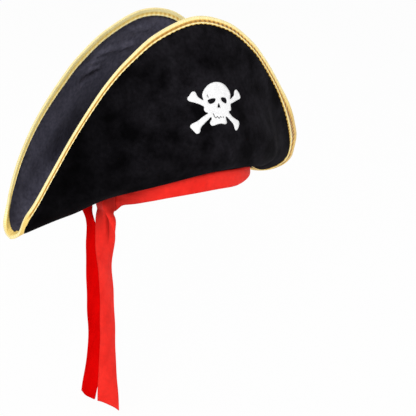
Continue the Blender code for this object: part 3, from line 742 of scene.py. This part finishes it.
def braid_path(half):
    """Evenly spaced (t, u) pairs of the bound edge and of the braid's inner border."""
    last = float(LAST)
    top = float(EDGE_U)
    heights = np.linspace(0, top, 25)[:-1]
    lines = np.linspace(0, last, 225)[1:-1]
    ends = ((0.0, 0.25), (last, last - 0.12))
    corners = []
    for end, inside in ends:
        gap = half.point(np.array([inside, end]), np.array([top, top]))
        corners.append(half.braid_width(end) * abs(inside - end) / np.linalg.norm(gap[1] - gap[0]))
    outer = []
    inner = []

    def end_rows(end, inside, order):
        wide = half.braid_width(end)
        drop = top - half.height_from_edge(end, wide)
        for u in order:
            pair = half.point(np.array([inside, end]), np.array([u, u]))
            step = min(wide * abs(inside - end) / np.linalg.norm(pair[1] - pair[0]), 0.8)
            outer.append((end, u))
            inner.append((abs(end - step), u - drop * max(0.0, 1 - (top - u) / 3.5)))

    end_rows(*ends[0], heights)
    for t in (0.0, *lines, last):
        shift = corners[0] * max(0.0, 1 - t / (3 * corners[0]))
        shift -= corners[1] * max(0.0, 1 - (last - t) / (3 * corners[1]))
        outer.append((t, top))
        inner.append((t + shift, half.height_from_edge(t + shift, half.braid_width(t))))
    end_rows(*ends[1], heights[::-1])
    outer = np.array(outer)
    inner = np.array(inner)
    edge = half.point(outer[:, 0], outer[:, 1])
    run = np.concatenate([[0.0], np.cumsum(np.linalg.norm(np.diff(edge, axis=0), axis=-1))])
    even = np.linspace(0, run[-1], int(run[-1] / RIB_PITCH) * RIB_STEPS + 1)
    pick = [np.stack([np.interp(even, run, line[:, k]) for k in (0, 1)], -1) for line in (outer, inner)]
    return pick[0], pick[1], even


def soften(points, corner):
    """Round the braid where it turns a corner of the flap."""
    steps = np.arange(-3 * CORNER_SOFT, 3 * CORNER_SOFT + 1)
    share = np.exp(-0.5 * (steps / CORNER_SOFT) ** 2)
    share /= share.sum()
    padded = np.pad(points, ((len(steps) // 2, len(steps) // 2), (0, 0), (0, 0)), mode="edge")
    smooth = sum(part * padded[k:k + len(points)] for k, part in enumerate(share))
    near = np.exp(-((np.arange(len(points)) - corner) / (2.4 * CORNER_SOFT)) ** 2)
    return points + near[:, None, None] * (smooth - points)


def rib_row(a, s, far_tip):
    """Fullness, rise and tone of the ribs on a line at share a of the braid's width; the tone paints
    highlights on the rib backs.
    """
    if a <= GROOVE_TO:
        lobe = math.cos(0.5 * math.pi * min(1.0, max(0.0, a / GROOVE_FROM - 0.4) / 0.6)) ** 0.8
        rib = np.abs(np.sin(np.pi * (THREADS_PER_RIB * s / RIB_PITCH + 1.5 * a)))
        return lobe, lobe * (0.75 + 0.25 * rib), RIB_TONE + EDGE_RIB_TONE * rib - FAR_DEEP * far_tip
    lobe = math.sin(math.pi * (a - GROOVE_TO) / (1 - GROOVE_TO)) ** 0.6
    rib = np.abs(np.sin(np.pi * (s / RIB_PITCH + 1.2 * (a - GROOVE_TO))))
    return lobe, lobe * (0.65 + 0.35 * rib), RIB_TONE + BORDER_RIB_TONE * rib


def braid_half(half, start):
    """Points and relief of the braid folded over one half's edge, and its length."""
    outer, inner, run = braid_path(half)
    station = outer[:, 0]
    level = outer[:, 1]
    edge = half.point(station, level)
    inside = half.point(*np.moveaxis(outer + 0.35 * (inner - outer), -1, 0))
    inward = inside - edge
    along = np.gradient(edge, axis=0)
    along /= np.linalg.norm(along, axis=-1, keepdims=True)
    inward -= along * (inward * along).sum(-1, keepdims=True)
    inward /= np.linalg.norm(inward, axis=-1, keepdims=True)
    rows = []
    relief = []
    s = run + start
    wide = np.interp(station, np.arange(STATIONS), half.braid)
    full = np.minimum(wide / BRAID_FULL, BRAID_SWELL)
    near_point = ease(1 - station / NEAR_SPAN)
    if half.side > 0:
        near_tip = REAR_TIP_HIGH * near_point + (1 - REAR_TIP_HIGH) * ease(1 - (level - 0.5) / 3.5)
    else:
        near_tip = ease(1 - level / 1.8)
    near_tip *= near_point
    far_tip = ease((station - FAR_FROM) / FAR_SPAN)
    tip = near_tip[:, None] * np.array(TIP_SPREAD)
    tip += far_tip[:, None] * np.array(FAR_SPREAD)
    out = half.normal(station, level)
    slide = tip - np.maximum((tip * out).sum(-1, keepdims=True), 0) * out
    stand = np.minimum(full, 1.0) * (1 - far_tip) * ease((station - STAND_FROM) / STAND_SPAN)
    plain = ease(1 - (station - PLAIN_FROM) / PLAIN_SPAN)
    spots = SPOTS_LEAST + (1 - SPOTS_LEAST) * ease((station - SPOTS_FROM) / SPOTS_SPAN)
    thread = np.abs(np.sin(np.pi * THREADS_PER_RIB * s / RIB_PITCH))
    dot = ease(0.5 + 1.4 * np.cos(2 * np.pi * s / RIB_PITCH))

    def face(side, lobe_height, lines):
        for a in lines:
            sewn = a > BRAID_SEWN
            beads = BEAD * np.cos(2 * np.pi * s / RIB_PITCH) * max(0.0, (a - GROOVE_TO) / (1 - GROOVE_TO))
            reach = a - beads if side > 0 else (a - beads) * np.minimum(1.0, INNER_WIDTH / wide)
            place = outer + reach[:, None] * (inner - outer)
            lobe, rise, tone = rib_row(a, s, far_tip)
            base = half.thickness(place[:, 0], place[:, 1]) + BRAID_CLEAR + 0.5 * near_tip
            rise = rise + plain * (PLAIN_RISE - rise) * (not sewn)
            height = base + lobe_height * full * rise - SEWN_DEPTH * sewn
            if side < 0 < half.side and not sewn:
                height += BRAID_STAND * a * stand
            spread = (1 - a) * (tip if side > 0 else slide)
            rows.append(half.offset(place[:, 0], place[:, 1], side * height) + spread)
            # Painted shade in the groove, with its dark spots; on the inner face also along the sewn border
            if side > 0:
                deep = GROOVE_TONE - GROOVE_UNSPOTTED * (1 - spots) - SPOT_TONE * spots * dot
            else:
                deep = (INNER_GROOVE_TONE - INNER_SPOT_TONE * spots * dot) * (not sewn)
            shade = lobe * tone + (1 - lobe) * deep
            relief.append(shade + plain * (PLAIN_TONE - PLAIN_THREAD * thread - shade))

    face(1, BRAID_LOBE, BRAID_LINES)
    base = half.thickness(station, level) + BRAID_CLEAR
    for turn in ROLL_TURNS:
        angle = math.radians(turn)
        swell = full * (0.5 + 1.2 * math.cos(angle) + 0.25 * thread)
        reach = base + (BRAID_LOBE if turn > 0 else INNER_LOBE) * full
        rows.append(edge + out * (reach * math.sin(angle))[:, None] - inward * swell[:, None] + tip)
        # The rolled edge's thread backs are pale: painted highlights
        relief.append(ROLL_TONE + ROLL_THREAD * thread - FAR_DEEP * far_tip)
    face(-1, INNER_LOBE, BRAID_LINES[::-1])
    points = np.stack(rows, 1)
    on_top = np.flatnonzero(level > EDGE_U - 0.001)
    for corner in (on_top[0], on_top[-1]):
        points = soften(points, corner)
    return points, np.stack(relief, 1), run[-1]


front_points, front_relief, front_run = braid_half(front, 0.0)
rear_points, rear_relief, _ = braid_half(rear, front_run)
braid_points = np.concatenate([front_points, rear_points[::-1]])
braid_relief = np.concatenate([front_relief, rear_relief[::-1]])
braid_faces = grid_faces(*braid_points.shape[:2], 0, True, True)
make_piece("gold_edge_braid", braid_points.reshape(-1, 3), braid_faces, GOLD, "hat",
           ["edge_braid"], braid_relief)


# Crown, lining and bands around the head

band_line = smooth_curve([(z,) for z in BAND_LOW[-2:] + BAND_LOW + BAND_LOW[:3]])


def band_low(angle):
    """Height of the red band's lower edge at an angle around the head."""
    return band_line(2 + len(BAND_LOW) * angle / (2 * np.pi))[..., 0]


def oval(angle, half_x, half_y, z):
    """Ring points; the four values may be arrays of one shape."""
    return np.stack(np.broadcast_arrays(half_x * np.cos(angle), half_y * np.sin(angle), z), -1)


def dome(name, levels, inset, thickness, pleats, mat, nodes):
    """Round cloth wall through (height, scale) levels, gathered in pleats towards its top."""
    line = smooth_curve(levels)
    step = np.linspace(0, len(levels) - 1, ROWS_PER_LEVEL * len(levels))
    angle = 2 * np.pi * np.arange(WALL_COLUMNS) / WALL_COLUMNS
    a, k = np.meshgrid(angle, np.arange(len(step)), indexing="ij")
    z = line(step)[k, 0]
    hem = np.maximum(band_low(a) + HEM, HEM)
    top = BAND_TOP + 4
    z = np.where(z < top, np.maximum(z, hem + (z - HEM) * (top - hem) / (top - HEM)), z)
    scale = line(step)[k, 1]
    grow = np.linspace(0, 1, len(step))[k]
    ripple = PLEAT_DEPTH * np.sin(pleats * a) * grow * np.clip(scale * 2, 0, 1)
    outer = oval(a, (CROWN_HALF_X - inset) * scale + ripple, (CROWN_HALF_Y - inset) * scale + ripple, z)
    deep = inset + thickness
    inner = oval(a, (CROWN_HALF_X - deep) * scale + ripple, (CROWN_HALF_Y - deep) * scale + ripple,
                 z - thickness * (1 - scale))
    points, faces = closed_sheet(outer, inner, True)
    make_piece(name, points, faces, mat, "hat", nodes)


dome("crown_side_velvet", CROWN_SIDE, 0.0, 1.5, 9, BLACK, ["crown_side"])
dome("crown_top_velvet", CROWN_TOP, 0.0, 1.5, 16, BLACK, ["crown_top"])
dome("crown_lining_cloth", LINING, 2.1, 0.8, 28, CLOTH, ["crown_lining"])
dome("sweatband_cloth", SWEATBAND, 1.8, 0.7, 60, CLOTH, ["sweatband"])


def red_band():
    """Soft rolled band; creases gather where it runs into the tails."""
    around = 2 * np.pi * np.arange(BAND_COLUMNS) / BAND_COLUMNS
    a, v = np.meshgrid(around, np.linspace(0, 1, BAND_ROWS), indexing="ij")
    degrees = np.degrees(a)
    low = band_low(a)
    top = np.minimum(BAND_TOP, low + BAND_HEIGHT)
    roll = (1 - np.abs(2 * v - 1) ** 3.0) ** 0.6
    near = np.exp(-((degrees - GATHER_AT) / GATHER_WIDE) ** 2)
    crease = near * np.sin(2 * np.pi * (2.2 * v + degrees / 21))
    slow = 0.22 * np.sin(7 * a + 4 * v) + 0.15 * np.sin(13 * a - 3 * v)
    out = BAND_EDGE + BAND_ROLL * roll + (GATHER_HEIGHT * crease + slow) * roll
    low = low - BAND_DIP * np.exp(-((degrees - DIP_AT) / DIP_WIDE) ** 2)
    z = low + (top - low) * v
    away = ease((np.abs(degrees - TAILS_AT) - TURN_FROM) / TURN_FADE)
    turned = TURN_IN * ease((HEM - z) / TURN_DROP) * away
    outer = oval(a, CROWN_HALF_X + out - turned, CROWN_HALF_Y + out - turned, z)
    inner = oval(a, CROWN_HALF_X + BAND_BACK - turned, CROWN_HALF_Y + BAND_BACK - turned, z)
    points, faces = closed_sheet(outer, inner, True)
    # Painted shadow of the brim on the band near the tails
    shade = LEVEL - BAND_SHADE * ease((SHADE_HALF - np.abs(degrees - SHADE_AT)) / SHADE_FADE)
    make_piece("red_headband", points, faces, RED, "hat", ["headband"],
               np.concatenate([shade, shade]))


def red_fold():
    """Bundle of the sash where the tails leave the band, with its pleats."""
    around = np.radians(np.linspace(SASH_FROM, SASH_TO, SASH_COLUMNS))
    a, v = np.meshgrid(around, np.linspace(0, 1, SASH_ROWS), indexing="ij")
    degrees = np.degrees(a)
    end = np.clip(np.minimum(degrees - SASH_FROM, SASH_TO - degrees) / SASH_END, 0, 1)
    roll = (1 - np.abs(2 * v - 1) ** 2.6) ** 0.6 * (SASH_END_ROLL + (1 - SASH_END_ROLL) * end)
    pleat = SASH_PLEAT * np.sin(2 * np.pi * (2.6 * v + degrees / 30))
    out = SASH_EDGE + (SASH_ROLL + pleat) * roll
    low = SASH_LOW + SASH_RISE * ease((degrees - SASH_RISE_FROM) / SASH_RISE_SPAN)
    z = low + (SASH_TOP - low) * v
    outer = oval(a, CROWN_HALF_X + out, CROWN_HALF_Y + out, z)
    inner = oval(a, CROWN_HALF_X + SASH_BACK, CROWN_HALF_Y + SASH_BACK, z)
    points, faces = closed_sheet(outer, inner)
    # Painted shadow of the brim over the whole sash fold
    shade = np.full(2 * a.size, LEVEL - BAND_SHADE)
    make_piece("red_sash_fold", points, faces, RED, "hat", ["sash_fold"], shade)


red_band()
red_fold()


# Tails

def within(value, s, span):
    """Value that eases in after the start of a span along the ribbon and out before its end."""
    start, rise, end, fall = span
    return value * ease((s - start) / rise) * ease((end - s) / fall)


def tail(name, hinge, length, slant, turns, drifts, curl, lean, sway, pleat, mat, node):
    """Ribbon end that runs up over the sash fold and hangs from its hinge."""
    reach = np.concatenate([np.linspace(-1, 0, TUCK_ROWS)[:-1], np.linspace(0, 1, TAIL_ROWS)])
    r, share = np.meshgrid(reach, np.linspace(-0.5, 0.5, TAIL_COLUMNS), indexing="ij")
    w = RIBBON * share
    below = np.maximum(r, 0)
    s = (length + slant * w) * below + TAIL_TUCK * np.minimum(r, 0)
    step = (len(turns) - 1) * np.sqrt(below)
    turn = np.radians(smooth_curve([(d,) for d in turns])(step)[..., 0])
    free = np.clip(below * 5, 0, 1)
    out = curl * ((2 * share) ** 2 - 0.33) * free
    x = smooth_curve([(d,) for d in drifts])(step)[..., 0] + w * np.cos(turn) + out * np.sin(turn)
    y = lean * below + sway * ease((SWAY_END - s) / SWAY_FADE) + w * np.sin(turn) - out * np.cos(turn)
    hanging = s > 0
    x -= np.maximum(s, 0) * x[hanging].sum() / s[hanging].sum()
    fold = share + 0.02 - 0.5 * (s - CREST_FROM) / CREST_RUN
    crest = np.where(fold > 0, np.exp(-fold / CREST_SHARP), np.exp(fold / CREST_SOFT))
    valley = VALLEY_SHARE * pleat * np.exp(-((share - VALLEY_AT) / VALLEY_WIDE) ** 2)
    relief = within(pleat * crest, s, CREST_SPAN)
    relief -= within(valley, s, VALLEY_SPAN)
    relief += TAIL_WAVE * np.sin(2 * np.pi * (1.7 * share + 5.3 * below)) * free
    side = np.stack([np.sin(turn), -np.cos(turn), np.zeros(turn.shape)], -1)
    middle = np.array(hinge) + np.stack([x, y, -s], -1) + relief[..., None] * side
    over = ease((OVER_END - s) / OVER_FADE)
    around = middle[..., 1] / (CROWN_HALF_Y + TAIL_HUG)
    hug = -(CROWN_HALF_X + TAIL_HUG) * np.sqrt(1 - around ** 2) - relief
    middle[..., 0] += over * (hug - middle[..., 0])
    end_hem = ease((END_HEM - (1 - below) * length) / 1.5)
    hem = np.maximum(end_hem, ease((np.abs(share) - SIDE_HEM) / 0.03))
    thick = ((RIBBON_HALF_THICK + RIBBON_HEM * hem)[..., None]) * side
    points, faces = closed_sheet(middle + thick, middle - thick)
    # Painted shade and highlights on the tail's folds, and a painted shadow of the brim over its top
    height = LEVEL + relief / CREASE_FULL - TAIL_SHADE * ease((TAIL_SHADE_END - s) / TAIL_SHADE_FADE)
    obj = make_piece(name, points, faces, mat, None, [node], np.concatenate([height, height]))
    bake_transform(obj)


tail("red_tail_front", TAIL_FRONT_HINGE, TAIL_FRONT_LENGTH, TAIL_FRONT_SLANT, TAIL_FRONT_TURN,
     TAIL_FRONT_DRIFT, TAIL_CURL, TAIL_FRONT_LEAN, TAIL_FRONT_SWAY, TAIL_FRONT_PLEAT, RED, "tail_front")
# The rear tail wears the red velvet with painted shade
tail("red_tail_rear", TAIL_REAR_HINGE, TAIL_REAR_LENGTH, TAIL_REAR_SLANT, TAIL_REAR_TURN,
     TAIL_REAR_DRIFT, -TAIL_CURL, TAIL_REAR_LEAN, TAIL_REAR_SWAY, TAIL_REAR_PLEAT, RED_SHADED, "tail_rear")


# Emblem

def rounded(outline):
    """Closed outline with its corners rounded by a smooth curve through its points."""
    points = np.array(outline + outline[:3])
    points = np.concatenate([[outline[-1]], points])
    line = smooth_curve(points)
    return line(1 + np.arange(len(outline) * OUTLINE_CUTS) / OUTLINE_CUTS)


def stroke(points, width):
    """Outline of a thin cut that follows a line of points."""
    line = np.array(points)
    ahead = np.gradient(line, axis=0)
    side = np.stack([-ahead[:, 1], ahead[:, 0]], -1)
    side *= 0.5 * width / np.linalg.norm(side, axis=-1, keepdims=True)
    return np.concatenate([line + side, (line - side)[::-1]])


def emblem(cloth):
    """Skull and crossed bones cut from one thin cloth and pressed on the front flap."""
    curve = bpy.data.curves.new("emblem_outline", "CURVE")
    curve.dimensions = "2D"
    curve.fill_mode = "FRONT"
    turn = np.linspace(0, 2 * np.pi, 10, endpoint=False)
    dot = np.array(TOOTH_DOT) + TOOTH_DOT_RADIUS * np.stack([np.cos(turn), np.sin(turn)], -1)
    soft_outlines = [rounded(outline) for outline in (EMBLEM_OUTLINE, EYE_RIGHT, EYE_LEFT, NOSE)]
    for soft in (*soft_outlines, stroke(TEETH, TEETH_CUT), stroke(CRACK, CRACK_CUT), dot):
        spline = curve.splines.new("POLY")
        spline.points.add(len(soft) - 1)
        spline.use_cyclic_u = True
        for point, (x, z) in zip(spline.points, soft):
            point.co = (x, z, 0.0, 1.0)
    drawing = bpy.data.objects.new("emblem_outline", curve)
    bpy.context.scene.collection.objects.link(drawing)
    flat = bpy.data.meshes.new_from_object(drawing)
    bpy.data.objects.remove(drawing, do_unlink=True)
    work = bmesh.new()
    work.from_mesh(flat)
    bmesh.ops.remove_doubles(work, verts=work.verts, dist=0.0001)
    bmesh.ops.triangulate(work, faces=work.faces)
    for limit in EMBLEM_EDGES:
        long_edges = [e for e in work.edges if e.calc_length() > limit]
        bmesh.ops.subdivide_edges(work, edges=long_edges, cuts=1)
        bmesh.ops.triangulate(work, faces=work.faces)
        shared = [e for e in work.edges if len(e.link_faces) == 2]
        bmesh.ops.beautify_fill(work, faces=work.faces, edges=shared)
    bmesh.ops.dissolve_degenerate(work, dist=SLIVER, edges=work.edges)
    bmesh.ops.triangulate(work, faces=work.faces)
    tree = BVHTree.FromObject(cloth, bpy.context.evaluated_depsgraph_get())
    cosine = math.cos(EMBLEM_TILT)
    sine = math.sin(EMBLEM_TILT)
    for vertex in work.verts:
        up = vertex.co.y * EMBLEM_SCALE_Z
        across = vertex.co.x * EMBLEM_SCALE_X + up * EMBLEM_SLANT
        x = EMBLEM_CENTRE[0] + across * cosine - up * sine
        z = EMBLEM_CENTRE[1] + across * sine + up * cosine
        hit, normal, _, _ = tree.ray_cast(Vector((x * MM, RAY_START * MM, z * MM)), Vector((0, 1, 0)))
        vertex.co = (hit + normal * EMBLEM_LIFT * MM) / MM
    work.verts.index_update()
    vertices = np.array([v.co for v in work.verts])
    faces = [tuple(v.index for v in f.verts) for f in work.faces]
    work.free()
    obj = make_piece("skull_emblem_cloth", vertices, faces, WHITE, "hat", ["skull_emblem"])
    if obj.data.polygons[0].normal.y > 0:
        obj.data.flip_normals()
    thick = obj.modifiers.new("cloth thickness", "SOLIDIFY")
    thick.thickness = EMBLEM_CLOTH * MM
    thick.offset = 1.0


bpy.context.view_layer.update()
emblem(front_velvet)


# Stage, light and camera

def seen_rays(tree):
    """1 for rays that show the background: from the camera, mirrored or passed through."""
    path = tree.nodes.new("ShaderNodeLightPath")
    seen = path.outputs["Is Camera Ray"]
    for kind in ("Is Glossy Ray", "Is Transmission Ray"):
        either = tree.nodes.new("ShaderNodeMath")
        either.operation = "MAXIMUM"
        tree.links.new(seen, either.inputs[0])
        tree.links.new(path.outputs[kind], either.inputs[1])
        seen = either.outputs["Value"]
    return seen


def floor():
    mesh = bpy.data.meshes.new("studio_floor")
    corners = ((-1, -1), (1, -1), (1, 1), (-1, 1))
    mesh.from_pydata([(x * FLOOR_HALF, y * FLOOR_HALF, FLOOR_Z) for x, y in corners], [], [(0, 1, 2, 3)])
    mat, tree, shader = new_material("studio_floor_white")
    shader.inputs["Base Color"].default_value = (0.9, 0.9, 0.9, 1.0)
    shader.inputs["Roughness"].default_value = 0.9
    glow = add(tree, "ShaderNodeEmission", Color=(1.0, 1.0, 1.0, 1.0), Strength=1.0)
    share = tree.nodes.new("ShaderNodeMath")
    share.operation = "MULTIPLY"
    share.inputs[1].default_value = FLOOR_GLOW
    blend = tree.nodes.new("ShaderNodeMixShader")
    tree.links.new(seen_rays(tree), share.inputs[0])
    tree.links.new(share.outputs["Value"], blend.inputs["Fac"])
    tree.links.new(shader.outputs["BSDF"], blend.inputs[1])
    tree.links.new(glow.outputs["Emission"], blend.inputs[2])
    tree.links.new(blend.outputs["Shader"], tree.nodes["Material Output"].inputs["Surface"])
    mesh.materials.append(mat)
    obj = bpy.data.objects.new("studio_floor", mesh)
    bpy.context.scene.collection.objects.link(obj)


def lamp(name, place, aim, size, power):
    light = bpy.data.lights.new(name, "AREA")
    light.size = size
    light.energy = power
    obj = bpy.data.objects.new(name, light)
    obj.location = place
    obj.rotation_euler = (Vector(aim) - Vector(place)).to_track_quat("-Z", "Y").to_euler()
    bpy.context.scene.collection.objects.link(obj)


floor()
for values in LAMPS:
    lamp(*values)
world = bpy.data.worlds.new("studio_world")
world.use_nodes = True
sky = world.node_tree.nodes["Background"]
sky.inputs["Color"].default_value = (1.0, 1.0, 1.0, 1.0)
brightness = world.node_tree.nodes.new("ShaderNodeMapRange")
brightness.inputs["To Min"].default_value = WORLD_LIGHT
world.node_tree.links.new(seen_rays(world.node_tree), brightness.inputs["Value"])
world.node_tree.links.new(brightness.outputs["Result"], sky.inputs["Strength"])
bpy.context.scene.world = world

camera = bpy.data.objects.new("photo_camera", bpy.data.cameras.new("photo_camera"))
camera.data.lens = CAMERA_LENS
camera.data.sensor_width = 36.0
camera.data.clip_start = 0.05
camera.data.clip_end = 60.0
camera.location = CAMERA_PLACE
camera.rotation_euler = (Vector(CAMERA_AIM) - Vector(CAMERA_PLACE)).to_track_quat("-Z", "Y").to_euler()
bpy.context.scene.collection.objects.link(camera)
bpy.context.scene.camera = camera
bpy.context.scene.view_settings.view_transform = "Standard"

bpy.context.view_layer.update()
